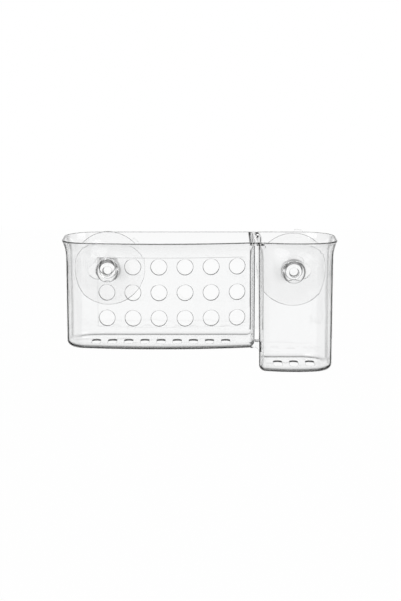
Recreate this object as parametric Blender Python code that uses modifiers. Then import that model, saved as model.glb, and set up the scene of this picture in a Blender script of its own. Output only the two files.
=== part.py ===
# Suction shelf for a bathroom wall: one clear moulded basket with a shallow tray and a deep
# side cup, hung on two soft clear suction cups whose necks sit in slots of its back wall.
# Units are metres. The wall is the plane Y = 0 and the room lies towards -Y. X = 0 is the
# middle of the basket, and Z = 0 is the level of the slots in its back wall.

import math

import bmesh
import bpy
from mathutils import Matrix, Vector

COLLECTION_NAME = "suction_shelf"

# Basket, seen from above, below its flared rim
BODY_LENGTH = 0.2964  # between the end walls, along the back
BODY_DEPTH = 0.0938  # from the back wall to the furthest point of the front
BACK_CORNER = 0.032
FRONT_CORNER = 0.024
TRAY_BOW_RADIUS = 0.480
CUP_BOW_RADIUS = 0.105
CUP_SETBACK = 0.0026  # the deep cup's bow stops short of the tray's by this

# Basket, from the side
TRAY_HEIGHT = 0.1197
DEEP_HEIGHT = 0.1460
RIM_ABOVE_SLOTS = 0.0444
FLARE = 0.0046
FLARE_HEIGHT = 0.022
FLARE_CURVE = 2.4  # above 1, so that it opens fastest at the rim
END_DRAFT = 0.003  # slope, as width lost for each unit of height
FRONT_DRAFT = 0.029
WALL = 0.0017
RIM_WALL = 0.0030
RIM_THICKENING = 0.8  # below 1, so that the wall starts to thicken well under the rim
FLOOR = 0.0020
FOOT_RADIUS = 0.007
RIM_EDGE = 0.0006

# Divider: one ridge at the rim, which splits below it into the tray's wall and the cup's wall
DIVIDER_X = 0.0613
DIVIDER_SKEW = 0.0024  # it runs this far sideways from back to front
DIVIDER_EDGE = 0.0023
DIVIDER_DEPTH = 0.0036  # height of the solid ridge over the gap
DIVIDER_FLARE = 3.0  # the two walls lean to the ridge only near the rim
TRAY_SIDE_X = 0.0609
TUB_GAP = 0.0042
CUP_LEAN_FRONT = 0.004
CUP_LEAN_BACK = 0.036
TRAY_INNER_CORNER = 0.005
CUP_INNER_CORNER = 0.0075
WEB_SINK = 0.0001  # the web between them lies this far inside both faces of the back wall
BRIDGE_REACH = 0.010
TIE_DEPTH = 0.0170
TIE_HEIGHT = 0.0067
TIE_FILLET = 0.0045
TIE_SINK = 0.0002  # its ends lie this far inside the cup's wall

# Openings of the basket
HOLE_DIAMETER = 0.0172
HOLE_PITCH = 0.0286
TOP_ROW_BELOW_RIM = 0.0262
PANEL_MARGIN = 0.0097
PANEL_BORDER = 0.0099
PANEL_RISE = 0.0004
DRAIN_WIDTH = 0.0098
TRAY_DRAIN_LENGTH = 0.0265
CUP_DRAIN_LENGTH = 0.030
DRAIN_FROM_FRONT = 0.031
DRAIN_PITCH = 0.0182
TRAY_DRAIN_MARGIN = 0.021
CUP_DRAIN_MARGIN = 0.012
SLOT_FROM_END = 0.03835
SLOT_RADIUS = 0.0094
SLOT_HALF_SPAN = 0.0071
SLOT_RISE = 0.0101

# Suction cups
SEAT_GAP = 0.0003
STAND_OFF = 0.0175  # from the tiles to the basket's back wall
PAD_RADIUS = 0.0425
PAD_EDGE = 0.0013
SEAL_WIDTH = 0.0030
DOME_HEIGHT = 0.0075
SHOULDER_RADIUS = 0.0125
NECK_RADIUS = 0.0082
HEAD_RADIUS = 0.0134
HEAD_HEIGHT = 0.0078
HEAD_ROUND = 0.0030
RECESS_RADIUS = 0.0058
RECESS_DEPTH = 0.0090
TAB_WIDTH = 0.0090
TAB_REACH = 0.0040
TAB_OVERLAP = 0.0055
TAB_THICKNESS = 0.0017
TAB_LIFT = 0.0004

# Where each cup rests in its slot, and how far its tab is turned from the top
LEFT_CUP = {"shift_x": 0.0046, "shift_z": 0.0006, "tab_turn": math.radians(45)}
RIGHT_CUP = {"shift_x": -0.0020, "shift_z": -0.0009, "tab_turn": math.radians(7)}

# Fineness
CORNER_STEPS = 7
BOW_STEPS = 14
FLARE_STEPS = 6
FOOT_STEPS = 4
HOLE_SIDES = 28
DRAIN_SIDES = 16
ROUND_STEPS = 48
DOME_STEPS = 5
SLOPE_STEPS = 8

RIM_Z = RIM_ABOVE_SLOTS
BACK_Y = -STAND_OFF
LEAST_CORNER = 0.0008
CUT_SLACK = 0.003
TWIST_LIMIT = math.radians(0.05)  # a skin's four-sided face that twists more is split into flat ones


class Line:
    """A straight side of an outline, with its normal pointing into the outline."""

    def __init__(self, start, end):
        self.point = Vector(start)
        along = (Vector(end) - self.point).normalized()
        self.inward = Vector((-along.y, along.x))

    def foot(self, center, radius):
        return center - self.inward * radius


class Bow:
    """A side that is an arc of a large circle, bulging towards the room."""

    def __init__(self, crown, radius):
        self.center = Vector((crown[0], crown[1] + radius))
        self.radius = radius

    def foot(self, center, radius):
        return center + (center - self.center).normalized() * radius

    def at_x(self, x, inset=0.0):
        reach = self.radius - inset
        return Vector((x, self.center.y - math.sqrt(reach**2 - (x - self.center.x) ** 2)))


def corner_center(first, second, radius):
    """The point that lies the corner's radius inside both sides."""
    if isinstance(first, Bow):
        first, second = second, first
    start = first.point + first.inward * radius
    along = Vector((first.inward.y, -first.inward.x))
    if isinstance(second, Line):
        gap = radius - (start - second.point).dot(second.inward)
        return start + along * (gap / along.dot(second.inward))
    offset = start - second.center
    half = offset.dot(along)
    root = math.sqrt(half**2 - offset.length_squared + (second.radius - radius) ** 2)
    return min((start + along * (step - half) for step in (root, -root)), key=lambda p: p.y)


def arc_points(center, start, end, radius, steps):
    """Points from one tangent point to the next, counterclockwise."""
    first = math.atan2(start.y - center.y, start.x - center.x)
    turn = (math.atan2(end.y - center.y, end.x - center.x) - first) % (2 * math.pi)
    return [
        center + Vector((math.cos(angle), math.sin(angle))) * radius
        for angle in (first + turn * step / steps for step in range(steps + 1))
    ]


class Tub:
    """One compartment: four sides and four corners that change with the height."""

    def __init__(self, height, sides_at, corners):
        self.height = height
        self.sides_at = sides_at
        self.corners = corners

    def outline(self, z, inset=0.0):
        """Counterclockwise from the back left corner, moved in by the inset."""
        left, front, right, back = self.sides_at(z)
        pairs = ((back, left), (left, front), (front, right), (right, back))
        spread = flare_at(z)
        points = []
        for (first, second), corner in zip(pairs, self.corners):
            radius = max(corner + spread, inset + LEAST_CORNER)
            center = corner_center(first, second, radius)
            arc = arc_points(
                center,
                first.foot(center, radius - inset),
                second.foot(center, radius - inset),
                radius - inset,
                CORNER_STEPS,
            )
            if first is front:
                points += bow_points(front, points[-1].x, arc[0].x, inset)
            points += arc
        return points


def bow_points(bow, start_x, end_x, inset):
    """The bow's own points between its two corners."""
    return [
        bow.at_x(start_x + (end_x - start_x) * step / BOW_STEPS, inset)
        for step in range(1, BOW_STEPS)
    ]


def flare_share(z):
    """1 at the rim, easing to 0 where the flare ends."""
    drop = min(max(RIM_Z - z, 0.0), FLARE_HEIGHT)
    return (1 - drop / FLARE_HEIGHT) ** FLARE_CURVE


def flare_at(z):
    return FLARE * flare_share(z)


def wall_at(z):
    """The wall thickens towards the rim."""
    return WALL + (RIM_WALL - WALL) * flare_share(z) ** RIM_THICKENING


def end_x(z):
    """Half the basket's length along the back."""
    return BODY_LENGTH / 2 - END_DRAFT * (RIM_Z - z) + flare_at(z)


def front_y(z):
    return BACK_Y - BODY_DEPTH - flare_at(z) + FRONT_DRAFT * (RIM_Z - z)


def back_y(z):
    return BACK_Y + flare_at(z)


def divider_rim_x(share):
    """Middle of the divider's top edge; share is 0 at the back and 1 at the front."""
    return DIVIDER_X + DIVIDER_SKEW * (share - 0.5)


def cup_side_x(z, share):
    """The cup's own wall at the gap, which leans away from the tray's further down."""
    lean = CUP_LEAN_BACK + (CUP_LEAN_FRONT - CUP_LEAN_BACK) * share
    return TRAY_SIDE_X + TUB_GAP + lean * max(RIM_Z - FLARE_HEIGHT - z, 0.0)


def lean_to_ridge(body, rim, z):
    """A compartment's inner face turns from its wall to the ridge close under the rim."""
    return body + (rim - body) * flare_share(z) ** DIVIDER_FLARE


def tray_face_x(z, share):
    """The tray's inner face, moved out by the wall's thickness."""
    rim = divider_rim_x(share) - DIVIDER_EDGE / 2 + RIM_WALL
    return lean_to_ridge(TRAY_SIDE_X + wall_at(z) - WALL, rim, z)


def cup_face_x(z, share):
    rim = divider_rim_x(share) + DIVIDER_EDGE / 2 - RIM_WALL
    return lean_to_ridge(cup_side_x(z, share) - wall_at(z) + WALL, rim, z)


def tray_outline(z, side_x):
    """The tray's four sides, of which the one at the gap is given as X at its front and back."""
    front, back = front_y(z), back_y(z)
    return (
        Line((-end_x(z), back), (-end_x(z), front)),
        Bow(((side_x[0] - end_x(z)) / 2, front), TRAY_BOW_RADIUS),
        Line((side_x[0], front), (side_x[1], back)),
        Line((0, back), (-1, back)),
    )


def cup_outline(z, side_x):
    front, back = front_y(z) + CUP_SETBACK, back_y(z)
    return (
        Line((side_x[1], back), (side_x[0], front)),
        Bow(((side_x[0] + end_x(z)) / 2, front), CUP_BOW_RADIUS),
        Line((end_x(z), front), (end_x(z), back)),
        Line((0, back), (-1, back)),
    )


def tray_sides(z):
    return tray_outline(z, (TRAY_SIDE_X, TRAY_SIDE_X))


def cup_sides(z):
    return cup_outline(z, (cup_side_x(z, 1), cup_side_x(z, 0)))


def tray_faces(z):
    return tray_outline(z, (tray_face_x(z, 1), tray_face_x(z, 0)))


def cup_faces(z):
    return cup_outline(z, (cup_face_x(z, 1), cup_face_x(z, 0)))


TRAY_CORNERS = (BACK_CORNER, FRONT_CORNER, TRAY_INNER_CORNER, TRAY_INNER_CORNER)
CUP_CORNERS = (CUP_INNER_CORNER, CUP_INNER_CORNER, FRONT_CORNER, BACK_CORNER)
TRAY = Tub(TRAY_HEIGHT, tray_sides, TRAY_CORNERS)
TRAY_INSIDE = Tub(TRAY_HEIGHT, tray_faces, TRAY_CORNERS)
DEEP_CUP = Tub(DEEP_HEIGHT, cup_sides, CUP_CORNERS)
DEEP_CUP_INSIDE = Tub(DEEP_HEIGHT, cup_faces, CUP_CORNERS)


def new_object(name, mesh, collection):
    obj = bpy.data.objects.new(name, mesh)
    collection.objects.link(obj)
    return obj


def mesh_from(bm, name):
    bmesh.ops.recalc_face_normals(bm, faces=bm.faces)
    mesh = bpy.data.meshes.new(name)
    bm.to_mesh(mesh)
    bm.free()
    return mesh


def loft(name, rings, collection):
    """A closed skin over rings of equally many points, from the top one down."""
    bm = bmesh.new()
    loops = [[bm.verts.new(point) for point in ring] for ring in rings]
    count = len(loops[0])
    for upper, lower in zip(loops, loops[1:]):
        for i in range(count):
            j = (i + 1) % count
            bm.faces.new((upper[i], lower[i], lower[j], upper[j]))
    bm.faces.new(loops[0])
    bm.faces.new(reversed(loops[-1]))
    bmesh.ops.connect_verts_nonplanar(bm, angle_limit=TWIST_LIMIT, faces=bm.faces)
    return new_object(name, mesh_from(bm, name), collection)


def ring_at(tub, z, inset):
    return [(point.x, point.y, z) for point in tub.outline(z, inset)]


def foot_levels(tub, floor_z, radius, inset):
    """Rings of the rounded foot, down to the floor."""
    levels = []
    for step in range(FOOT_STEPS + 1):
        angle = math.pi / 2 * step / FOOT_STEPS
        levels.append((floor_z + radius * (1 - math.sin(angle)), inset + radius * (1 - math.cos(angle))))
    return [ring_at(tub, z, level_inset) for z, level_inset in levels]


def flare_heights():
    """Levels from just under the rim's edge to the end of the flare, closest at the top."""
    drops = [FLARE_HEIGHT * (step / FLARE_STEPS) ** 1.4 for step in range(1, FLARE_STEPS + 1)]
    return [RIM_Z - RIM_EDGE] + [RIM_Z - drop for drop in drops]


def tub_shell(name, tub, collection):
    """The outside of a compartment, as a solid."""
    rings = [ring_at(tub, RIM_Z, RIM_EDGE)]
    rings += [ring_at(tub, z, 0.0) for z in flare_heights()]
    rings += foot_levels(tub, RIM_Z - tub.height, FOOT_RADIUS, 0.0)
    return loft(name, rings, collection)


def tub_cavity(name, tub, collection):
    """The inside of a compartment, open at the rim, as a cutter."""
    rim = tub.outline(RIM_Z, RIM_WALL - RIM_EDGE)
    rings = [[(point.x, point.y, z) for point in rim] for z in (RIM_Z + CUT_SLACK, RIM_Z)]
    rings += [ring_at(tub, z, wall_at(z)) for z in flare_heights()]
    rings += foot_levels(tub, RIM_Z - tub.height + FLOOR, FOOT_RADIUS - WALL, WALL)
    return loft(name, rings, collection)


def back_web(collection):
    """The back wall between the two compartments, which closes the gap behind."""
    left = TRAY_SIDE_X - 2 * TRAY_INNER_CORNER
    right = cup_side_x(RIM_Z - TRAY_HEIGHT, 0) + 2 * CUP_INNER_CORNER
    heights = [RIM_Z, *flare_heights(), RIM_Z - TRAY_HEIGHT + FOOT_RADIUS]
    rings = []
    for z in heights:
        outer = back_y(z) - WEB_SINK - (RIM_EDGE if z == RIM_Z else 0)
        inner = back_y(z) - wall_at(z) + WEB_SINK
        rings.append([(left, outer, z), (left, inner, z), (right, inner, z), (right, outer, z)])
    return loft("back_web", rings, collection)


def divider_ridge(collection):
    """The solid ridge over the gap, with the piece of front rim that spans the groove."""
    rings = []
    for drop in (0.0, RIM_EDGE, DIVIDER_DEPTH):
        z = RIM_Z - drop
        inset = RIM_EDGE - min(drop, RIM_EDGE)
        start = tray_sides(z)[1].at_x(TRAY_SIDE_X - BRIDGE_REACH, inset)
        end = cup_sides(z)[1].at_x(cup_side_x(z, 1) + BRIDGE_REACH, inset)
        behind = back_y(z) - WALL
        rings.append([(start.x, behind, z), (*start, z), (*end, z), (end.x, behind, z)])
    return loft("divider_ridge", rings, collection)


def bottom_tie(collection):
    """The lug that joins the tray's foot to the cup's wall, with a fillet under it."""
    floor_z = RIM_Z - TRAY_HEIGHT + LEAST_CORNER
    top_z = floor_z + TIE_HEIGHT
    left = TRAY_SIDE_X - WALL / 2 - FOOT_RADIUS / 2
    root_x = cup_side_x(floor_z, 1) + TIE_SINK
    fillet = [
        (
            root_x - TIE_FILLET * (1 - math.sin(angle)),
            floor_z - TIE_FILLET * (1 - math.cos(angle)),
        )
        for angle in (math.pi / 2 * step / CORNER_STEPS for step in range(CORNER_STEPS + 1))
    ]
    right = root_x + 2 * WALL
    profile = [(left, floor_z), *fillet, (right, floor_z - TIE_FILLET), (right, top_z), (left, top_z)]
    front = front_y(floor_z) + CUP_SETBACK + FOOT_RADIUS + LEAST_CORNER
    rings = [[(x, y, z) for x, z in profile] for y in (front, front + TIE_DEPTH)]
    return loft("bottom_tie", rings, collection)


def steps_in(room):
    """How many hole pitches fit the room between the first and the last possible hole."""
    return max(int(room / HOLE_PITCH), 0)


def hole_columns():
    """X of each column of front holes, from the divider to the corner at the far end."""
    last = TRAY_SIDE_X - PANEL_MARGIN - PANEL_BORDER
    first = FRONT_CORNER + PANEL_BORDER - end_x(RIM_Z - TRAY_HEIGHT)
    return [last - HOLE_PITCH * i for i in range(steps_in(last - first) + 1)]


def hole_rows():
    """Z of each row, from the rim down to the rounded foot."""
    top = RIM_Z - TOP_ROW_BELOW_RIM
    lowest = RIM_Z - TRAY_HEIGHT + FOOT_RADIUS + PANEL_BORDER
    return [top - HOLE_PITCH * i for i in range(steps_in(top - lowest) + 1)]


def front_panel(collection):
    """The slightly raised field round the front holes."""
    left = min(hole_columns()) - PANEL_BORDER
    right = max(hole_columns()) + PANEL_BORDER
    rings = []
    for z in (max(hole_rows()) + PANEL_BORDER, min(hole_rows()) - PANEL_BORDER):
        bow = tray_sides(z)[1]
        outer, inner = (
            [bow.at_x(left + (right - left) * step / BOW_STEPS, inset) for step in range(BOW_STEPS + 1)]
            for inset in (-PANEL_RISE, WALL / 2)
        )
        rings.append([(*point, z) for point in outer + inner[::-1]])
    return loft("front_panel", rings, collection)


def cutters_from(name, shapes, collection):
    """Several separate closed shapes as one cutter."""
    bm = bmesh.new()
    for shape in shapes:
        shape(bm)
    return new_object(name, mesh_from(bm, name), collection)


def stadium(bm, matrix, radius, half_span, depth, sides=HOLE_SIDES):
    """A round ended bar along local Z whose halves are drawn apart along local X."""
    made = bmesh.ops.create_cone(
        bm, cap_ends=True, segments=sides, radius1=radius, radius2=radius, depth=depth
    )
    for vert in made["verts"]:
        vert.co.x += math.copysign(half_span, vert.co.x)
    bmesh.ops.transform(bm, matrix=matrix, verts=made["verts"])


def rounded_box(bm, matrix, size, radius):
    """A box with its four edges along local Z rounded."""
    made = bmesh.ops.create_cube(bm, size=1.0)
    bmesh.ops.scale(bm, vec=size, verts=made["verts"])
    upright = [
        edge
        for edge in {edge for vert in made["verts"] for edge in vert.link_edges}
        if abs(edge.verts[0].co.z - edge.verts[1].co.z) > size[2] / 2
    ]
    verts = set(made["verts"])
    rounded = bmesh.ops.bevel(
        bm, geom=upright, offset=radius, offset_type="OFFSET", segments=3, profile=0.5, affect="EDGES"
    )
    verts = {vert for vert in verts | set(rounded["verts"]) if vert.is_valid}
    bmesh.ops.transform(bm, matrix=matrix, verts=list(verts))


def front_holes(collection):
    """A round hole in the tray's front wall at each crossing of the rows and columns."""
    turned = Matrix.Rotation(math.pi / 2, 4, "X")
    size = (HOLE_DIAMETER / 2, 0.0, 4 * WALL + 2 * CUT_SLACK)
    shapes = []
    for z in hole_rows():
        for x in hole_columns():
            wall_y = tray_sides(z)[1].at_x(x).y
            place = Matrix.Translation((x, wall_y, z)) @ turned
            shapes.append(lambda bm, place=place: stadium(bm, place, *size))
    return cutters_from("front_holes", shapes, collection)


def drains(name, left, right, margin, near_y, length, floor_z, collection):
    """A row of drain slots across a compartment's floor, as many as fit it."""
    count = int((right - left - 2 * margin - DRAIN_WIDTH) / DRAIN_PITCH) + 1
    first = (left + right - DRAIN_PITCH * (count - 1)) / 2
    along_y = Matrix.Rotation(math.pi / 2, 4, "Z")
    size = (DRAIN_WIDTH / 2, (length - DRAIN_WIDTH) / 2, FLOOR + 2 * CUT_SLACK, DRAIN_SIDES)
    shapes = []
    for i in range(count):
        middle = (first + DRAIN_PITCH * i, near_y + length / 2, floor_z + FLOOR / 2)
        place = Matrix.Translation(middle) @ along_y
        shapes.append(lambda bm, place=place: stadium(bm, place, *size))
    return cutters_from(name, shapes, collection)


def tray_drains(collection):
    z = RIM_Z - TRAY_HEIGHT
    near_y = front_y(z) + DRAIN_FROM_FRONT
    span = (-end_x(z), TRAY_SIDE_X, TRAY_DRAIN_MARGIN)
    return drains("tray_drains", *span, near_y, TRAY_DRAIN_LENGTH, z, collection)


def cup_drains(collection):
    z = RIM_Z - DEEP_HEIGHT
    near_y = front_y(z) + CUP_SETBACK + DRAIN_FROM_FRONT
    span = (cup_side_x(z, 1), end_x(z), CUP_DRAIN_MARGIN)
    return drains("cup_drains", *span, near_y, CUP_DRAIN_LENGTH, z, collection)


def slot_x(side):
    """X of the middle of the left (-1) or right (1) neck slot."""
    return side * (BODY_LENGTH / 2 - SLOT_FROM_END)


def neck_slots(name, lift, half_span, quarter, collection):
    """One bar of the tee shaped slots for the cups' necks, on both sides."""
    depth = WALL + 2 * CUT_SLACK
    turned = Matrix.Rotation(math.pi / 2, 4, "X") @ Matrix.Rotation(quarter, 4, "Z")
    shapes = []
    for side in (-1, 1):
        place = Matrix.Translation((slot_x(side), BACK_Y - WALL / 2, lift)) @ turned
        shapes.append(lambda bm, place=place: stadium(bm, place, SLOT_RADIUS, half_span, depth))
    return cutters_from(name, shapes, collection)


def add_boolean(obj, other, operation):
    modifier = obj.modifiers.new(other.name, "BOOLEAN")
    modifier.operation = operation
    modifier.object = other


def build_basket(parts, cutters, material):
    basket = tub_shell("basket", TRAY, parts)
    basket.data.materials.append(material)
    joined = (
        front_panel(cutters),
        tub_shell("cup_shell", DEEP_CUP, cutters),
        back_web(cutters),
        divider_ridge(cutters),
        bottom_tie(cutters),
    )
    removed = (
        tub_cavity("tray_cavity", TRAY_INSIDE, cutters),
        tub_cavity("cup_cavity", DEEP_CUP_INSIDE, cutters),
        front_holes(cutters),
        tray_drains(cutters),
        cup_drains(cutters),
        neck_slots("slots_across", 0.0, SLOT_HALF_SPAN, 0.0, cutters),
        neck_slots("slots_up", SLOT_RISE / 2, SLOT_RISE / 2, math.pi / 2, cutters),
    )
    for other in joined:
        add_boolean(basket, other, "UNION")
    for other in removed:
        add_boolean(basket, other, "DIFFERENCE")
    shade_round(basket.data)
    return basket


def shade_round(mesh):
    mesh.shade_smooth()
    mesh.set_sharp_from_angle(angle=math.radians(35))


def cup_profile():
    """Radius and height above the wall, from the middle of the head down to the dome."""
    shoulder_z = STAND_OFF - SEAT_GAP
    under_head = STAND_OFF + WALL + SEAT_GAP
    top = under_head + HEAD_HEIGHT
    points = [(0.0, top - RECESS_DEPTH), (RECESS_RADIUS, top - RECESS_DEPTH)]
    points += [(RECESS_RADIUS, top - RECESS_RADIUS / 6), (RECESS_RADIUS * 7 / 6, top)]
    center = (HEAD_RADIUS - HEAD_ROUND, top - HEAD_ROUND)
    for step in range(CORNER_STEPS + 1):
        angle = math.pi / 2 * (1 - step / CORNER_STEPS)
        points.append((center[0] + HEAD_ROUND * math.cos(angle), center[1] + HEAD_ROUND * math.sin(angle)))
    points += [(HEAD_RADIUS, under_head + HEAD_ROUND / 3), (HEAD_RADIUS - HEAD_ROUND / 3, under_head)]
    points += [(NECK_RADIUS, under_head), (NECK_RADIUS, shoulder_z)]
    for step in range(SLOPE_STEPS + 1):
        share = step / SLOPE_STEPS
        radius = SHOULDER_RADIUS + (PAD_RADIUS - SHOULDER_RADIUS) * share
        points.append((radius, PAD_EDGE + (shoulder_z - PAD_EDGE) * (1 - share) ** 1.6))
    points += [(PAD_RADIUS, PAD_EDGE / 3), (PAD_RADIUS - PAD_EDGE / 3, 0.0)]
    seal = PAD_RADIUS - SEAL_WIDTH
    for step in range(DOME_STEPS + 1):
        radius = seal * (1 - step / DOME_STEPS)
        points.append((radius, DOME_HEIGHT * (1 - (radius / seal) ** 2)))
    return points


def pull_tab(name, cutters):
    """A flat lug on the pad's edge, to peel the cup off the wall."""
    length = TAB_OVERLAP + TAB_REACH
    middle = PAD_RADIUS + TAB_REACH - length / 2
    place = Matrix.Translation((0, middle, TAB_LIFT + TAB_THICKNESS / 2))
    size = (TAB_WIDTH, length, TAB_THICKNESS)
    return cutters_from(name, [lambda bm: rounded_box(bm, place, size, TAB_THICKNESS)], cutters)


def build_cup(name, side, rest, parts, cutters, material):
    """One soft suction cup, whose origin lies on the axis that it turns about."""
    mesh = bpy.data.meshes.new(name)
    profile = [(radius, 0.0, height) for radius, height in cup_profile()]
    mesh.from_pydata(profile, [(i, i + 1) for i in range(len(profile) - 1)], [])
    mesh.materials.append(material)
    cup = new_object(name, mesh, parts)
    screw = cup.modifiers.new("turned", "SCREW")
    screw.axis = "Z"
    screw.steps = ROUND_STEPS
    screw.render_steps = ROUND_STEPS
    screw.use_merge_vertices = True
    screw.merge_threshold = 0.00001
    tab = pull_tab(name + "_tab", cutters)
    upright = Matrix.Rotation(math.pi / 2, 4, "X")
    place = Matrix.Translation((slot_x(side) + rest["shift_x"], 0, rest["shift_z"])) @ upright
    cup.matrix_world = place @ Matrix.Rotation(-rest["tab_turn"], 4, "Z")
    tab.matrix_world = cup.matrix_world
    add_boolean(cup, tab, "UNION")
    return cup


def clear_material(name, color, roughness, alpha):
    material = bpy.data.materials.new(name)
    material.use_nodes = True
    surface = material.node_tree.nodes["Principled BSDF"]
    surface.inputs["Base Color"].default_value = (*color, 1.0)
    surface.inputs["Roughness"].default_value = roughness
    surface.inputs["Metallic"].default_value = 0.0
    surface.inputs["Alpha"].default_value = alpha
    return material


def clear_scene():
    for obj in list(bpy.data.objects):
        bpy.data.objects.remove(obj, do_unlink=True)


def new_collection(name):
    collection = bpy.data.collections.new(name)
    bpy.context.scene.collection.children.link(collection)
    return collection


def main():
    clear_scene()
    parts = new_collection(COLLECTION_NAME)
    cutters = new_collection("cutters")
    hard = clear_material("clear_styrene", (0.93, 0.94, 0.94), 0.06, 0.25)
    soft = clear_material("clear_soft_vinyl", (0.90, 0.92, 0.92), 0.22, 0.35)
    build_basket(parts, cutters, hard)
    build_cup("left_suction_cup", -1, LEFT_CUP, parts, cutters, soft)
    build_cup("right_suction_cup", 1, RIGHT_CUP, parts, cutters, soft.copy())
    for cutter in cutters.objects:
        cutter.hide_render = True
        cutter.display_type = "WIRE"


main()
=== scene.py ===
import math

import bmesh
import bpy
from mathutils import Matrix, Vector


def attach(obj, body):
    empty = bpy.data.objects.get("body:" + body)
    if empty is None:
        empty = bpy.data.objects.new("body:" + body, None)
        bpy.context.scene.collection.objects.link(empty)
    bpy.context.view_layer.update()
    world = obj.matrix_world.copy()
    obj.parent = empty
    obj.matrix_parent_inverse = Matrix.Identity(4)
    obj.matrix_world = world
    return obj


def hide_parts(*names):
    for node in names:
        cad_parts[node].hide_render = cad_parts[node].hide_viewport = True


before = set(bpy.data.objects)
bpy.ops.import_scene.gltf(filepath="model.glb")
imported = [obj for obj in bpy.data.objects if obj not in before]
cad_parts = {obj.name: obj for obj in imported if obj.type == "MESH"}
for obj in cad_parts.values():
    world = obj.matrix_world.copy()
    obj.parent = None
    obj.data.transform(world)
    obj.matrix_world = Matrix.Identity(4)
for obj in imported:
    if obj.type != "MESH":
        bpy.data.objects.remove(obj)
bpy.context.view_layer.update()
print("frame loaded:", sorted(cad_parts))


class Wire:
    # wraps a node's output, so that shader maths reads as Python
    def __init__(self, tree, socket):
        self.tree, self.socket = tree, socket

    def maths(self, operation, *values):
        return node(self.tree, "ShaderNodeMath", {"operation": operation}, values)

    def __add__(self, other):
        return self.maths("ADD", self, other)

    def __sub__(self, other):
        return self.maths("SUBTRACT", self, other)

    def __rsub__(self, other):
        return self.maths("SUBTRACT", other, self)

    def __mul__(self, other):
        return self.maths("MULTIPLY", self, other)

    __radd__, __rmul__ = __add__, __mul__


def node(tree, kind, settings=None, values=None, output=0):
    # the settings come first, then the values or links of the sockets
    made = tree.nodes.new(kind)
    for name, value in (settings or {}).items():
        setattr(made, name, value)
    pairs = values.items() if isinstance(values, dict) else enumerate(values or ())
    for key, value in pairs:
        if isinstance(value, Wire):
            tree.links.new(value.socket, made.inputs[key])
        else:
            made.inputs[key].default_value = value
    return Wire(tree, made.outputs[output]) if made.outputs else None


view = {
    "place": (0.0, -2.054, 0.3169),
    "tilt": 80.2,  # degrees from straight down
    "lens": 107.82,
    "shiftX": 0.0015,
    "clipEnd": 50,
}
bpy.ops.object.camera_add(location=view["place"], rotation=(math.radians(view["tilt"]), 0, 0))
camera = bpy.context.object
camera.data.lens = view["lens"]
camera.data.shift_x = view["shiftX"]
camera.data.clip_end = view["clipEnd"]
bpy.context.scene.camera = camera
bpy.context.scene.view_settings.view_transform = "Standard"
print("camera placed")

room = {
    "floorZ": -0.75,
    "floorSize": 12.0,
    "floorColor": (0.86, 0.86, 0.86, 1),
    "floorGlow": 0.985,  # how much of it the camera sees as plain white
    # parts of a ray's direction between which the room changes
    "behind": (-0.1, 0.1),  # Y, from here on the sweep has dark strips
    "sweepHalf": (0.14, 0.40),  # X to either side, where a strip turns dark
    "farEnds": (0.56, 0.76),  # and where it is white again
    "sweepLow": (-0.48, -0.23),  # Z, from the dark foot of the sweep to white
    "farLow": (-0.85, -0.70),  # straight down it is a little lighter
    "farLowLevel": 0.25,
    "sweepHigh": (0.15, 0.50),  # Z, from white to the level overhead
    "overhead": 0.60,
    "darkest": 0.04,
    "mirrorHalf": (0.45, 0.60),  # the same for the wider room that the faces mirror
    "mirrorLow": (-0.90, -0.60),
    "fill": 0.55,  # light that falls on dull surfaces
}
lamps = {
    "soft_key": {"place": (-1.2, -1.4, 1.9), "size": 1.6, "power": 18},
    "soft_fill": {"place": (1.5, -0.6, 1.4), "size": 1.4, "power": 9},
}


def fade(tree, value, edges, levels):
    # a smooth change between two levels while the value passes the edges
    names = ("From Min", "From Max", "To Min", "To Max")
    values = {"Value": value, **dict(zip(names, (*edges, *levels)))}
    return node(tree, "ShaderNodeMapRange", {"interpolation_type": "SMOOTHSTEP"}, values)


def rayIs(tree, kind):
    return node(tree, "ShaderNodeLightPath", output="Is " + kind + " Ray")


def buildWorld():
    world = bpy.data.worlds.new("studio")
    bpy.context.scene.world = world
    world.use_nodes = True
    tree = world.node_tree
    tree.nodes.clear()
    seen, through, mirrored = (rayIs(tree, kind) for kind in ("Camera", "Transmission", "Glossy"))
    direction = node(tree, "ShaderNodeTexCoord", output="Generated")
    x, y, z = (node(tree, "ShaderNodeSeparateXYZ", None, (direction,), axis) for axis in "XYZ")
    # what the clear plastic bends into view: a white sweep with two dark strips and a dark foot
    across = x.maths("ABSOLUTE", x)
    strips = fade(tree, y, room["behind"], (0, 1)) * fade(tree, across, room["sweepHalf"], (0, 1))
    strips = strips * fade(tree, across, room["farEnds"], (1, 0))
    low = fade(tree, z, room["sweepLow"], (0, 1))
    low = low + fade(tree, z, room["farLow"], (room["farLowLevel"], 0))
    high = fade(tree, z, room["sweepHigh"], (1, room["overhead"]))
    bent = (1 - strips) * low * high * (1 - room["darkest"]) + room["darkest"]
    # its outer faces mirror a wider white room
    wide = fade(tree, across, room["mirrorHalf"], (1, 0))
    wide = wide * fade(tree, z, room["mirrorLow"], (0, 1))
    glass = through.maths("MAXIMUM", through, mirrored)
    sweep = through * bent + (1 - through) * wide
    strength = seen + (1 - seen) * (glass * sweep + (1 - glass) * room["fill"])
    shine = {"Color": (1, 1, 1, 1), "Strength": strength}
    background = node(tree, "ShaderNodeBackground", None, shine)
    node(tree, "ShaderNodeOutputWorld", None, {"Surface": background})


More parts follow.
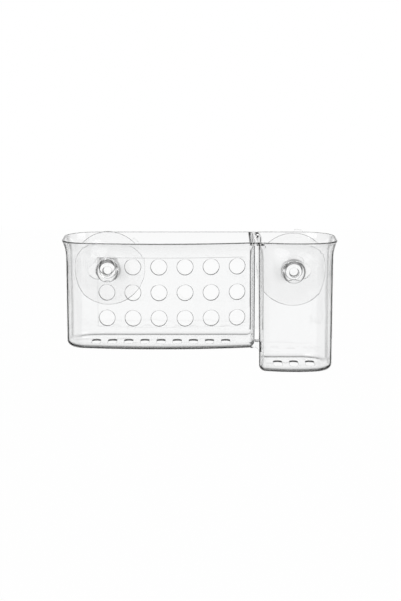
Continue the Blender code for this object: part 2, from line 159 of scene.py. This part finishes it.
def buildFloor():
    bpy.ops.mesh.primitive_plane_add(size=room["floorSize"], location=(0, 0, room["floorZ"]))
    floor = bpy.context.object
    floor.name = "floor"
    material = bpy.data.materials.new("pale_floor")
    material.use_nodes = True
    tree = material.node_tree
    tree.nodes.clear()
    share = rayIs(tree, "Camera") * room["floorGlow"]
    dull = node(tree, "ShaderNodeBsdfDiffuse", None, {"Color": room["floorColor"]})
    glow = node(tree, "ShaderNodeEmission", None, {"Color": (1, 1, 1, 1), "Strength": 1.0})
    mixed = node(tree, "ShaderNodeMixShader", None, (share, dull, glow))
    node(tree, "ShaderNodeOutputMaterial", None, {"Surface": mixed})
    floor.data.materials.append(material)
    floor.visible_transmission = False
    floor.visible_glossy = False


def addLamp(name, place, size, power):
    # it shines on the middle of the object
    bpy.ops.object.light_add(type="AREA", location=place)
    lamp = bpy.context.object
    lamp.name = name
    lamp.data.size = size
    lamp.data.energy = power
    lamp.rotation_euler = (-Vector(place)).to_track_quat("-Z", "Y").to_euler()


buildWorld()
buildFloor()
for name, lamp in lamps.items():
    addLamp(name, **lamp)
print("room and light ready")

basket = {
    # metres, with Y from the tiles and Z from the middle of the neck slots
    "length": 0.2964,
    "depth": 0.0938,
    "trayHeight": 0.1197,
    "cupHeight": 0.1460,
    "rimZ": 0.0444,
    "backY": -0.0175,
    "trayBow": 0.480,  # radius of a bowed front
    "cupBow": 0.105,
    "cupSetback": 0.0026,
    "backCorner": 0.032,
    "frontCorner": 0.024,
    "trayInnerCorner": 0.005,
    "cupInnerCorner": 0.0075,
    "leastCorner": 0.0008,
    "flare": 0.0046,
    "flareHeight": 0.022,
    "flareCurve": 2.4,
    "endDraft": 0.003,  # metres inwards for each metre down
    "frontDraft": 0.029,
    "wall": 0.0017,
    "rimWall": 0.0030,
    "rimThickening": 0.8,
    "rimRound": 0.0010,
    "floor": 0.0020,
    "foot": 0.007,  # rounding between a wall and its floor
    # the divider: two leaning walls under one ridge
    "dividerX": 0.0613,
    "dividerSkew": 0.0024,
    "dividerEdge": 0.0023,
    "dividerDepth": 0.0036,
    "dividerFlare": 3.0,
    "trayWallX": 0.0609,
    "gap": 0.0042,
    "leanFront": 0.004,
    "leanBack": 0.036,
    "bridgeReach": 0.006,  # how far the ridge's ends run into the fronts
    # the tie that joins the two walls at the tray's floor
    "tieDepth": 0.0170,
    "tieHeight": 0.0067,
    "tieFillet": 0.0045,
    "tieLift": 0.0008,
    "tieSetback": 0.0008,
    # the holes and their raised panel
    "holeRadius": 0.0086,
    "holePitch": 0.0286,
    "holeColumns": 6,
    "holeRows": 3,
    "topRow": 0.0262,  # below the rim
    "panelMargin": 0.0097,
    "panelBorder": 0.0099,
    "panelRise": 0.0004,
    "panelSlope": 0.00025,
    "panelSink": 0.00003,
    # the drains, as their number and length
    "trayDrains": (9, 0.0265),
    "cupDrains": (3, 0.030),
    "drainWidth": 0.0098,
    "drainPitch": 0.0182,
    "drainFromFront": 0.031,
    # the neck slots: a lying bar and an upright one
    "slotX": 0.10985,
    "slotRadius": 0.0094,
    "slotSpan": 0.0071,
    "slotRise": 0.0101,
    "slotNarrowing": 0.0001,  # the upright bar is this much slimmer
    "slotPast": 0.00002,  # and this much longer
    # small rounded edges
    "holeRound": 0.0008,
    "slotRound": 0.0007,
    "drainRound": 0.0003,
    # steps and small distances of the mesh
    "cornerSteps": 12,
    "bowSteps": 26,
    "flareSteps": 12,
    "flareSpacing": 1.3,  # above 1, the rings are closer near the rim
    "footSteps": 8,
    "bodySteps": 4,
    "lipSteps": 4,
    "holeSides": 48,
    "drainSides": 32,
    "ringGap": 0.0003,
    "bendSupport": 0.0010,  # keeps the bend out of the straight wall's shading
    "floorInset": 0.0006,
    "sink": 0.0001,  # how far a joined piece stays inside its neighbours
    "overshoot": 0.003,  # how far a cutter sticks out
    "flatWithin": 0.05,  # degrees, past which a twisted face is split
    "smoothAngle": 30,  # degrees
}


class Side:
    # a straight side of an outline, its inward normal on the left of its run
    def __init__(self, start, end):
        self.point = Vector(start)
        along = (Vector(end) - self.point).normalized()
        self.inward = Vector((-along.y, along.x))

    def foot(self, center, radius):
        return center - self.inward * radius


class Bow:
    # a side that bulges to the room, as an arc of a large circle
    def __init__(self, crown, radius):
        self.center = Vector((crown[0], crown[1] + radius))
        self.radius = radius

    def foot(self, center, radius):
        return center + (center - self.center).normalized() * radius

    def atX(self, x, inset=0.0):
        reach = self.radius - inset
        return Vector((x, self.center.y - math.sqrt(reach**2 - (x - self.center.x) ** 2)))


def cornerCenter(first, second, radius):
    # the middle of a round corner that touches both sides
    if isinstance(first, Bow):
        first, second = second, first
    start = first.point + first.inward * radius
    along = Vector((first.inward.y, -first.inward.x))
    if isinstance(second, Side):
        missing = radius - (start - second.point).dot(second.inward)
        return start + along * (missing / along.dot(second.inward))
    offset = start - second.center
    half = offset.dot(along)
    root = math.sqrt(half**2 - offset.length_squared + (second.radius - radius) ** 2)
    return min((start + along * (step - half) for step in (root, -root)), key=lambda p: p.y)


def arc(center, start, end, radius, steps):
    first = math.atan2(start.y - center.y, start.x - center.x)
    turn = (math.atan2(end.y - center.y, end.x - center.x) - first) % (2 * math.pi)
    angles = (first + turn * step / steps for step in range(steps + 1))
    return [center + Vector((math.cos(a), math.sin(a))) * radius for a in angles]


def flareShare(z):
    # 1 at the rim and 0 below the flare
    drop = min(max(basket["rimZ"] - z, 0.0), basket["flareHeight"])
    return (1 - drop / basket["flareHeight"]) ** basket["flareCurve"]


def flareAt(z):
    return basket["flare"] * flareShare(z)


def wallAt(z):
    thicker = basket["rimWall"] - basket["wall"]
    return basket["wall"] + thicker * flareShare(z) ** basket["rimThickening"]


def endX(z):
    return basket["length"] / 2 - basket["endDraft"] * (basket["rimZ"] - z) + flareAt(z)


def frontY(z):
    draft = basket["frontDraft"] * (basket["rimZ"] - z)
    return basket["backY"] - basket["depth"] - flareAt(z) + draft


def backY(z):
    return basket["backY"] + flareAt(z)


def cupWallX(z, share):
    # share is 0 at the back and 1 at the front
    lean = basket["leanBack"] + (basket["leanFront"] - basket["leanBack"]) * share
    below = max(basket["rimZ"] - basket["flareHeight"] - z, 0.0)
    return basket["trayWallX"] + basket["gap"] + lean * below


def toRidge(body, share, z, side):
    # an inner face leans to the ridge over the gap, close under the rim
    middle = basket["dividerX"] + basket["dividerSkew"] * (share - 0.5)
    rim = middle + side * (basket["dividerEdge"] / 2 - basket["rimWall"])
    return body + (rim - body) * flareShare(z) ** basket["dividerFlare"]


def traySides(z, inner=False):
    front, back, wall = frontY(z), backY(z), basket["trayWallX"]
    nearX = farX = wall
    if inner:
        moved = wall + wallAt(z) - basket["wall"]
        nearX, farX = (toRidge(moved, share, z, -1) for share in (1, 0))
    return (
        Side((-endX(z), back), (-endX(z), front)),
        Bow(((nearX - endX(z)) / 2, front), basket["trayBow"]),
        Side((nearX, front), (farX, back)),
        Side((0, back), (-1, back)),
    )


def cupSides(z, inner=False):
    front, back = frontY(z) + basket["cupSetback"], backY(z)
    nearX, farX = cupWallX(z, 1), cupWallX(z, 0)
    if inner:
        thicker = wallAt(z) - basket["wall"]
        nearX, farX = (toRidge(x - thicker, share, z, 1) for x, share in ((nearX, 1), (farX, 0)))
    return (
        Side((farX, back), (nearX, front)),
        Bow(((nearX + endX(z)) / 2, front), basket["cupBow"]),
        Side((endX(z), front), (endX(z), back)),
        Side((0, back), (-1, back)),
    )


# corners go from the back left one round the front to the back right one
tray = {
    "height": basket["trayHeight"],
    "setback": 0.0,
    "sides": traySides,
    "ends": lambda z: (-endX(z), basket["trayWallX"]),
    "corners": ("backCorner", "frontCorner", "trayInnerCorner", "trayInnerCorner"),
    "drains": basket["trayDrains"],
}
deepCup = {
    "height": basket["cupHeight"],
    "setback": basket["cupSetback"],
    "sides": cupSides,
    "ends": lambda z: (cupWallX(z, 1), endX(z)),
    "corners": ("cupInnerCorner", "cupInnerCorner", "frontCorner", "backCorner"),
    "drains": basket["cupDrains"],
}


def outline(tub, z, inset, inner=False):
    # one level of a tub, as a closed row of points
    left, front, right, back = tub["sides"](z, inner)
    pairs = ((back, left), (left, front), (front, right), (right, back))
    points = []
    for (first, second), corner in zip(pairs, tub["corners"]):
        radius = max(basket[corner] + flareAt(z), inset + basket["leastCorner"])
        center = cornerCenter(first, second, radius)
        feet = [side.foot(center, radius - inset) for side in (first, second)]
        turn = arc(center, *feet, radius - inset, basket["cornerSteps"])
        if first is front:
            start, steps = points[-1].x, basket["bowSteps"]
            across = [start + (turn[0].x - start) * i / steps for i in range(1, steps)]
            points += [front.atX(x, inset) for x in across]
        points += turn
    return [(point.x, point.y, z) for point in points]


def skin(name, rings):
    # the bows and corners change with the height, so the walls are laid over computed rings
    shape = bmesh.new()
    loops = [[shape.verts.new(point) for point in ring] for ring in rings]
    count = len(loops[0])
    for upper, lower in zip(loops, loops[1:]):
        for i in range(count):
            j = (i + 1) % count
            shape.faces.new((upper[i], lower[i], lower[j], upper[j]))
    shape.faces.new(loops[0])
    shape.faces.new(reversed(loops[-1]))
    flat = math.radians(basket["flatWithin"])
    bmesh.ops.connect_verts_nonplanar(shape, angle_limit=flat, faces=shape.faces)
    bmesh.ops.recalc_face_normals(shape, faces=shape.faces)
    mesh = bpy.data.meshes.new(name)
    shape.to_mesh(mesh)
    shape.free()
    made = bpy.data.objects.new(name, mesh)
    bpy.context.scene.collection.objects.link(made)
    return made


def rounding(steps):
    # from the top of a quarter circle to its side, as fall and reach
    angles = [math.pi / 2 * step / steps for step in range(steps + 1)]
    return [(1 - math.cos(angle), math.sin(angle)) for angle in angles]


def wallLevels():
    # heights of the rings of the flare, below the rounded lip
    rim, steps = basket["rimZ"], basket["flareSteps"]
    shares = [(step / steps) ** basket["flareSpacing"] for step in range(1, steps + 1)]
    levels = [rim - basket["flareHeight"] * share for share in shares]
    return [z for z in levels if z < rim - basket["rimRound"] - basket["ringGap"]]


def footRings(tub, floorZ, radius, inset, inner):
    rings = []
    for step in range(basket["footSteps"] + 1):
        angle = math.pi / 2 * step / basket["footSteps"]
        z = floorZ + radius * (1 - math.sin(angle))
        rings.append(outline(tub, z, inset + radius * (1 - math.cos(angle)), inner))
    rings.append(outline(tub, floorZ, inset + radius + basket["floorInset"], inner))
    return rings


def bodyRings(tub, top, bottom, inset, inner):
    steps = basket["bodySteps"]
    levels = [top + (bottom - top) * step / steps for step in range(1, steps)]
    levels.append(bottom + basket["bendSupport"])
    return [outline(tub, z, inset, inner) for z in levels]


def lipRing(tub, fall, inset, inner):
    # the rounded lip keeps the outline of its foot
    z = basket["rimZ"] - basket["rimRound"]
    top = basket["rimZ"] - basket["rimRound"] * fall
    return [(x, y, top) for x, y, level in outline(tub, z, inset, inner)]


def shell(name, tub):
    rim, bead, lip = basket["rimZ"], basket["rimRound"], rounding(basket["lipSteps"])
    floorZ = rim - tub["height"]
    rings = [lipRing(tub, fall, bead * (1 - reach), False) for fall, reach in lip]
    rings += [outline(tub, z, 0.0) for z in wallLevels()]
    rings += bodyRings(tub, rim - basket["flareHeight"], floorZ + basket["foot"], 0.0, False)
    rings += footRings(tub, floorZ, basket["foot"], 0.0, False)
    return skin(name, rings)


def cavity(name, tub):
    rim, bead, lip = basket["rimZ"], basket["rimRound"], rounding(basket["lipSteps"])
    wall, foot = basket["wall"], basket["foot"] - basket["wall"]
    floorZ = rim - tub["height"] + basket["floor"]
    wide = wallAt(rim - bead)
    mouth = lipRing(tub, 0, wide - bead, True)
    rings = [[(x, y, rim + basket["overshoot"]) for x, y, z in mouth]]
    rings += [lipRing(tub, fall, wide - bead * (1 - reach), True) for fall, reach in lip]
    rings += [outline(tub, z, wallAt(z), True) for z in wallLevels()]
    rings += bodyRings(tub, rim - basket["flareHeight"], floorZ + foot, wall, True)
    rings += footRings(tub, floorZ, foot, wall, True)
    return skin(name, rings)


def backWeb():
    # the back wall goes on between the two tubs
    rim, bead, sink = basket["rimZ"], basket["rimRound"], basket["sink"]
    left = basket["trayWallX"] - 2 * basket["trayInnerCorner"]
    right = cupWallX(rim - basket["trayHeight"], 0) + 2 * basket["cupInnerCorner"]
    rings = []
    for z in (rim, rim - bead, *wallLevels(), rim - basket["trayHeight"] + basket["foot"]):
        outer = backY(z) - sink - (bead if z == rim else 0)
        inner = backY(z) - wallAt(z) + sink
        rings.append([(left, outer, z), (left, inner, z), (right, inner, z), (right, outer, z)])
    return skin("back_web", rings)


def dividerRidge():
    # closes the gap under the rim, and its front follows the flare
    rim, bead, reach = basket["rimZ"], basket["rimRound"], basket["bridgeReach"]
    highest, lowest = bead + basket["ringGap"], basket["dividerDepth"] - basket["ringGap"]
    between = [rim - z for z in wallLevels() if highest < rim - z < lowest]
    rings = []
    for drop in (0.0, bead, *between, basket["dividerDepth"]):
        z = rim - drop
        inset = bead - min(drop, bead) + basket["sink"]
        start = traySides(z)[1].atX(basket["trayWallX"] - reach, inset)
        end = cupSides(z)[1].atX(cupWallX(z, 1) + reach, inset)
        behind = backY(z) - basket["wall"]
        rings.append([(start.x, behind, z), (*start, z), (*end, z), (end.x, behind, z)])
    return skin("divider_ridge", rings)


def bottomTie():
    # a bar between the tubs, with a fillet below it against the deep one
    floorZ = basket["rimZ"] - basket["trayHeight"] + basket["tieLift"]
    topZ, fillet = floorZ + basket["tieHeight"], basket["tieFillet"]
    left = basket["trayWallX"] - (basket["wall"] + basket["foot"]) / 2
    rootX = cupWallX(floorZ, 1) + 2 * basket["sink"]
    right = rootX + 2 * basket["wall"]
    profile = [(left, floorZ)]
    for fall, reach in rounding(basket["cornerSteps"]):
        profile.append((rootX - fillet * (1 - reach), floorZ - fillet * fall))
    profile += [(right, floorZ - fillet), (right, topZ), (left, topZ)]
    front = frontY(floorZ) + basket["cupSetback"] + basket["foot"] + basket["tieSetback"]
    ends = (front, front + basket["tieDepth"])
    return skin("bottom_tie", [[(x, y, z) for x, z in profile] for y in ends])


def select(obj):
    bpy.ops.object.select_all(action="DESELECT")
    obj.select_set(True)
    bpy.context.view_layer.objects.active = obj


def enter():
    bpy.ops.object.mode_set(mode="EDIT")


def leave():
    bpy.ops.object.mode_set(mode="OBJECT")


def report(obj, stage):
    # open edges stay at 0 as long as the mesh is closed, also after a change of the settings
    shape = bmesh.new()
    shape.from_mesh(obj.data)
    openEdges = sum(not edge.is_manifold for edge in shape.edges)
    print("   with", stage, "faces", len(shape.faces), "open edges", openEdges)
    shape.free()


def combine(obj, other, operation):
    # the second piece is added or cut out, and used up
    select(obj)
    bpy.ops.object.modifier_add(type="BOOLEAN")
    modifier = obj.modifiers[-1]
    modifier.operation = operation
    modifier.object = other
    bpy.ops.object.modifier_apply(modifier=modifier.name)
    stage, mesh = other.name, other.data
    bpy.data.objects.remove(other)
    bpy.data.meshes.remove(mesh)
    report(obj, stage)


def turned(name, rings, sides):
    # rings of radius and height, grown from a circle by extruding and resizing, closed at both ends
    radius, height = rings[0]
    bpy.ops.object.select_all(action="DESELECT")
    bpy.ops.mesh.primitive_circle_add(vertices=sides, radius=radius, location=(0, 0, height))
    made = bpy.context.object
    made.name = name
    bpy.ops.object.transform_apply(location=True, rotation=True, scale=True)
    enter()
    bpy.ops.mesh.select_mode(type="EDGE")
    bpy.ops.mesh.select_all(action="SELECT")
    for (before, low), (radius, height) in zip(rings, rings[1:]):
        bpy.ops.mesh.extrude_region_move(TRANSFORM_OT_translate={"value": (0, 0, height - low)})
        growth = radius / before
        bpy.ops.transform.resize(value=(growth, growth, 1), center_override=(0, 0, 0))
    bpy.ops.mesh.select_all(action="SELECT")
    bpy.ops.mesh.fill_holes(sides=0)
    bpy.ops.mesh.normals_make_consistent(inside=False)
    leave()
    return made


def borer(name, radius, low, high, lip, sides):
    # a pin along Z through a wall from low to high, whose mouths open with a small round
    mouth = rounding(basket["lipSteps"])
    lower = [(radius + lip * (1 - reach), low + lip * fall) for fall, reach in mouth]
    upper = [(r, high + low - z) for r, z in reversed(lower)]
    first = (radius + lip, low - basket["overshoot"])
    last = (radius + lip, high + basket["overshoot"])
    return turned(name, [first, *lower, *upper, last], sides)


def drawApart(bar, span):
    # the bar's two halves move apart along X, so that its ends stay round
    enter()
    for side in (-1, 1):
        bpy.ops.mesh.select_all(action="DESELECT")
        leave()
        for vert in bar.data.vertices:
            vert.select = vert.co.x * side > 1e-6
        enter()
        bpy.ops.transform.translate(value=(side * span, 0, 0))
    leave()


def copyTo(pattern, matrix):
    # each copy has a mesh of its own
    made = pattern.copy()
    made.data = pattern.data.copy()
    bpy.context.scene.collection.objects.link(made)
    made.data.transform(matrix)
    return made


def joinAll(name, pieces):
    bpy.ops.object.select_all(action="DESELECT")
    for piece in pieces:
        piece.select_set(True)
    bpy.context.view_layer.objects.active = pieces[0]
    bpy.ops.object.join()
    made = bpy.context.object
    made.name = name
    return made


def columnPlaces():
    last = basket["trayWallX"] - basket["panelMargin"] - basket["panelBorder"]
    return [last - basket["holePitch"] * i for i in range(basket["holeColumns"])]


def rowPlaces():
    top = basket["rimZ"] - basket["topRow"]
    return [top - basket["holePitch"] * i for i in range(basket["holeRows"])]


def raisedPanel():
    # a thin plate on the bowed front, with sloped borders that end just inside it
    border, slope, sunk = basket["panelBorder"], basket["panelSlope"], basket["wall"] / 2
    left, right = min(columnPlaces()) - border, max(columnPlaces()) + border
    top, bottom = max(rowPlaces()) + border, min(rowPlaces()) - border
    steps, rise, sink = basket["bowSteps"], basket["panelRise"], basket["panelSink"]
    across = [left + (right - left) * i / steps for i in range(steps + 1)]
    across = [left - slope, *across, right + slope]
    rings = []
    for z, height in ((top + slope, -sink), (top, rise), (bottom, rise), (bottom - slope, -sink)):
        bow = traySides(z)[1]
        outer = [bow.atX(x, -height if left <= x <= right else sink) for x in across]
        inner = [bow.atX(x, sunk) for x in reversed(across)]
        rings.append([(*point, z) for point in outer + inner])
    return skin("raised_panel", rings)


def holePins():
    # each hole is bored square to the bowed and leaning front
    low, high = -basket["wall"], basket["panelRise"]
    size, lip, sides = basket["holeRadius"], basket["holeRound"], basket["holeSides"]
    pattern = borer("hole_pattern", size, low, high, lip, sides)
    lean = Matrix.Rotation(math.pi / 2 + math.atan(basket["frontDraft"]), 4, "X")
    pins = []
    for z in rowPlaces():
        bow = traySides(z)[1]
        for x in columnPlaces():
            aside = Matrix.Rotation(math.asin((x - bow.center.x) / bow.radius), 4, "Z")
            place = Matrix.Translation((*bow.atX(x), z))
            pins.append(copyTo(pattern, place @ aside @ lean))
    bpy.data.objects.remove(pattern)
    return joinAll("hole_pins", pins)


def drainPins(name, tub):
    # a row of long slots through a floor, in the middle between the tub's ends
    count, length = tub["drains"]
    width, pitch = basket["drainWidth"], basket["drainPitch"]
    floorZ = basket["rimZ"] - tub["height"]
    leftX, rightX = tub["ends"](floorZ)
    near = frontY(floorZ) + tub["setback"] + basket["drainFromFront"]
    lip, sides = basket["drainRound"], basket["drainSides"]
    pattern = borer(name + "_pattern", width / 2, 0, basket["floor"], lip, sides)
    drawApart(pattern, (length - width) / 2)
    along = Matrix.Rotation(math.pi / 2, 4, "Z")
    first = (leftX + rightX - pitch * (count - 1)) / 2
    pins = []
    for i in range(count):
        place = Matrix.Translation((first + pitch * i, near + length / 2, floorZ))
        pins.append(copyTo(pattern, place @ along))
    bpy.data.objects.remove(pattern)
    return joinAll(name, pins)


def slotPins():
    # three lobes: a lying bar and an upright one, united before they cut
    wall, lip, sides = basket["wall"], basket["slotRound"], basket["holeSides"]
    half, past = basket["slotRise"] / 2, basket["slotPast"]
    slimmer = basket["slotRadius"] - basket["slotNarrowing"]
    standing = Matrix.Translation((0, half, 0)) @ Matrix.Rotation(math.pi / 2, 4, "Z")
    pins = []
    for side in (-1, 1):
        lying = borer("lying_bar", basket["slotRadius"], 0, wall, lip, sides)
        drawApart(lying, basket["slotSpan"])
        upright = borer("upright_bar", slimmer, -past, wall + past, lip, sides)
        drawApart(upright, half)
        upright.data.transform(standing)
        combine(lying, upright, "UNION")
        place = Matrix.Translation((side * basket["slotX"], basket["backY"], 0))
        lying.data.transform(place @ Matrix.Rotation(math.pi / 2, 4, "X"))
        pins.append(lying)
    return joinAll("slot_pins", pins)


def finishSurface(obj, angle):
    # large faces keep their own normals, so that the roundings beside them shade cleanly
    select(obj)
    bpy.ops.object.shade_smooth_by_angle(angle=math.radians(angle))
    bpy.ops.object.modifier_add(type="WEIGHTED_NORMAL")
    obj.modifiers[-1].keep_sharp = True
    bpy.ops.object.modifier_apply(modifier=obj.modifiers[-1].name)


def buildBasket():
    made = shell("clear_basket", tray)
    added = (raisedPanel(), shell("cup_shell", deepCup), backWeb(), dividerRidge(), bottomTie())
    for other in added:
        combine(made, other, "UNION")
    cuts = (
        cavity("tray_cavity", tray),
        cavity("cup_cavity", deepCup),
        holePins(),
        drainPins("tray_drains", tray),
        drainPins("cup_drains", deepCup),
        slotPins(),
    )
    for other in cuts:
        combine(made, other, "DIFFERENCE")
    finishSurface(made, basket["smoothAngle"])
    return made


suctionCup = {
    # metres, with the height over the tiles
    "padRadius": 0.0425,
    "padEdge": 0.0016,
    "sealWidth": 0.0030,
    "domeHeight": 0.0080,
    "domeFlat": 0.006,
    "domeStart": 0.001,  # the hollow side falls from this far inside the shoulder
    "domeCurve": 1.35,
    "domeSteps": 12,
    "backCurve": 1.6,
    "backSteps": 16,
    "standOff": 0.0175,
    "seat": 0.0003,
    "shoulder": 0.0125,
    "shoulderEdge": 0.0006,
    "neck": 0.0082,
    "neckRound": (0.0005, 0.0004),  # at the shoulder and under the head
    "headRadius": 0.0134,
    "headHeight": 0.0078,
    "headFall": 0.0048,  # from its flat top to its widest
    "headFlat": 0.0072,
    "headSteps": 12,
    "headEdge": ((0.0009, 0.0), (0.0002, 0.0005), (0.0, 0.0013)),  # inwards and up
    "recess": 0.0055,
    "recessDepth": 0.0090,
    "recessLip": 0.0006,
    "recessFoot": ((0.0, 0.0012), (0.0004, 0.0004), (0.0012, 0.0)),  # inwards and up
    "lipSteps": 4,
    "poles": (0.0008, 0.0004),  # radius of the small caps behind and in front
    "tab": (0.0090, 0.0095, 0.0017),
    "tabReach": 0.0039,
    "tabLift": 0.0004,
    "tabCorner": (0.0014, 6),  # rounding and its steps
    "tabEdge": (0.0003, 2),
    "sides": 96,
    "smoothAngle": 40,  # degrees
    # where each one rests in its slot, and how far it is turned
    "left": {"shiftX": 0.0046, "shiftZ": 0.0006, "turn": 45},
    "right": {"shiftX": -0.0020, "shiftZ": -0.0009, "turn": 7},
}


def padRings(shoulderZ):
    # the hollow side runs along with the outer one, so that the pad shows what is behind it
    cup = suctionCup
    dome, edge, steps = cup["domeHeight"], cup["padEdge"], cup["domeSteps"]
    start, seal = cup["shoulder"] - cup["domeStart"], cup["padRadius"] - cup["sealWidth"]
    rings = [(cup["poles"][0], dome), (cup["domeFlat"], dome)]
    for step in range(steps + 1):
        height = dome * (1 - step / steps) ** cup["domeCurve"]
        rings.append((start + (seal - start) * step / steps, height))
    rings += [(cup["padRadius"] - edge / 3, 0.0), (cup["padRadius"], edge / 3)]
    rings.append((cup["padRadius"], edge))
    for step in range(1, cup["backSteps"] + 1):
        share = 1 - step / cup["backSteps"]
        radius = cup["shoulder"] + (cup["padRadius"] - cup["shoulder"]) * share
        rings.append((radius, edge + (shoulderZ - edge) * (1 - share) ** cup["backCurve"]))
    return rings


def headRings(underHead):
    # the mushroom head and the recess in its front
    cup = suctionCup
    top = underHead + cup["headHeight"]
    widest, wider = top - cup["headFall"], cup["headRadius"] - cup["headFlat"]
    rings = [(cup["headRadius"] - inwards, underHead + up) for inwards, up in cup["headEdge"]]
    for fall, reach in reversed(rounding(cup["headSteps"])):
        rings.append((cup["headFlat"] + wider * reach, top - (top - widest) * fall))
    lip, bottom = cup["recessLip"], top - cup["recessDepth"]
    for fall, reach in rounding(cup["lipSteps"]):
        rings.append((cup["recess"] + lip * (1 - reach), top - lip * fall))
    rings += [(cup["recess"] - inwards, bottom + up) for inwards, up in cup["recessFoot"]]
    rings.append((cup["poles"][1], bottom))
    return rings


def cupRings():
    # radius and height, from the middle of the dome out, over the back and the neck to the recess
    cup = suctionCup
    neck, (below, above) = cup["neck"], cup["neckRound"]
    shoulderZ = cup["standOff"] - cup["seat"]
    underHead = cup["standOff"] + basket["wall"] + cup["seat"]
    rings = [(cup["shoulder"] - cup["shoulderEdge"], shoulderZ), (neck + below, shoulderZ)]
    rings += [(neck, shoulderZ + below), (neck, underHead - above), (neck + above, underHead)]
    return padRings(shoulderZ) + rings + headRings(underHead)


def pullTab():
    cup = suctionCup
    width, length, thickness = cup["tab"]
    middle = cup["padRadius"] + cup["tabReach"] - length / 2
    place = (0, middle, cup["tabLift"] + thickness / 2)
    bpy.ops.object.select_all(action="DESELECT")
    bpy.ops.mesh.primitive_cube_add(size=1, location=place)
    made = bpy.context.object
    made.name = "pull_tab"
    made.scale = (width, length, thickness)
    bpy.ops.object.transform_apply(location=True, rotation=True, scale=True)
    # first the upright edges, then the others
    for upright, (amount, steps) in ((True, cup["tabCorner"]), (False, cup["tabEdge"])):
        enter()
        bpy.ops.mesh.select_mode(type="EDGE")
        bpy.ops.mesh.select_all(action="DESELECT")
        leave()
        for edge in made.data.edges:
            first, second = (made.data.vertices[i].co for i in edge.vertices)
            along = (second - first).normalized()
            edge.select = (abs(along.z) > 0.5) == upright
        enter()
        bpy.ops.mesh.bevel(offset=amount, segments=steps, affect="EDGES")
        leave()
    return made


def buildCup(side):
    rest = suctionCup[side]
    made = turned(side + "_cup", cupRings(), suctionCup["sides"])
    combine(made, pullTab(), "UNION")
    finishSurface(made, suctionCup["smoothAngle"])
    x = basket["slotX"] * (1 if side == "right" else -1) + rest["shiftX"]
    place = Matrix.Translation((x, 0, rest["shiftZ"]))
    forwards = Matrix.Rotation(math.pi / 2, 4, "X")
    spun = Matrix.Rotation(-math.radians(rest["turn"]), 4, "Z")
    made.data.transform(place @ forwards @ spun)
    return made


styrene = {
    "color": (0.962, 0.964, 0.965, 1),
    "clearest": (0.972, 0.974, 0.975, 1),
    "ior": 1.57,
    "hazeScale": 30.0,
    "hazeDetail": 3.0,
    "roughness": (0.0, 0.02),
    "swellScale": 42.0,
    "swellDetail": 1.0,
    "swell": 0.0002,
}
vinyl = {
    "color": (0.976, 0.976, 0.976, 1),
    "clearest": (0.988, 0.988, 0.988, 1),
    "ior": 1.5,
    "hazeScale": 60.0,
    "hazeDetail": 3.0,
    "roughness": (0.01, 0.05),
    "swellScale": 70.0,
    "swellDetail": 1.0,
    "swell": 0.00012,
}


def clearPlastic(name, look):
    material = bpy.data.materials.new(name)
    material.use_nodes = True
    tree = material.node_tree
    surface = tree.nodes["Principled BSDF"]
    surface.inputs["Transmission Weight"].default_value = 1.0
    surface.inputs["IOR"].default_value = look["ior"]
    place = node(tree, "ShaderNodeTexCoord", output="Object")
    # a faint cloudiness changes the tint and the polish
    spots = {"Vector": place, "Scale": look["hazeScale"], "Detail": look["hazeDetail"]}
    haze = node(tree, "ShaderNodeTexNoise", None, spots)
    colors = {0: haze, 6: look["color"], 7: look["clearest"]}  # the factor and the two colours
    tint = node(tree, "ShaderNodeMix", {"data_type": "RGBA"}, colors, 2)
    tree.links.new(tint.socket, surface.inputs["Base Color"])
    smooth, dull = look["roughness"]
    tree.links.new((haze * (dull - smooth) + smooth).socket, surface.inputs["Roughness"])
    # the slow waviness of a moulded face
    waves = {"Vector": place, "Scale": look["swellScale"], "Detail": look["swellDetail"]}
    swell = node(tree, "ShaderNodeTexNoise", None, waves)
    wavy = node(tree, "ShaderNodeBump", None, {"Distance": look["swell"], "Height": swell})
    tree.links.new(wavy.socket, surface.inputs["Normal"])
    return material


def paint(obj, material):
    obj.data.materials.clear()
    obj.data.materials.append(material)


clearBasket = buildBasket()
paint(clearBasket, clearPlastic("clear_styrene", styrene))
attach(clearBasket, "basket")
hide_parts("basket")
print("basket ready:", len(clearBasket.data.polygons), "faces")
for side in ("left", "right"):
    cup = buildCup(side)
    paint(cup, clearPlastic("clear_vinyl_" + side, vinyl))
    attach(cup, side + "_cup")
    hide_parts(side + "_suction_cup")
    print(side, "suction cup ready:", len(cup.data.polygons), "faces")
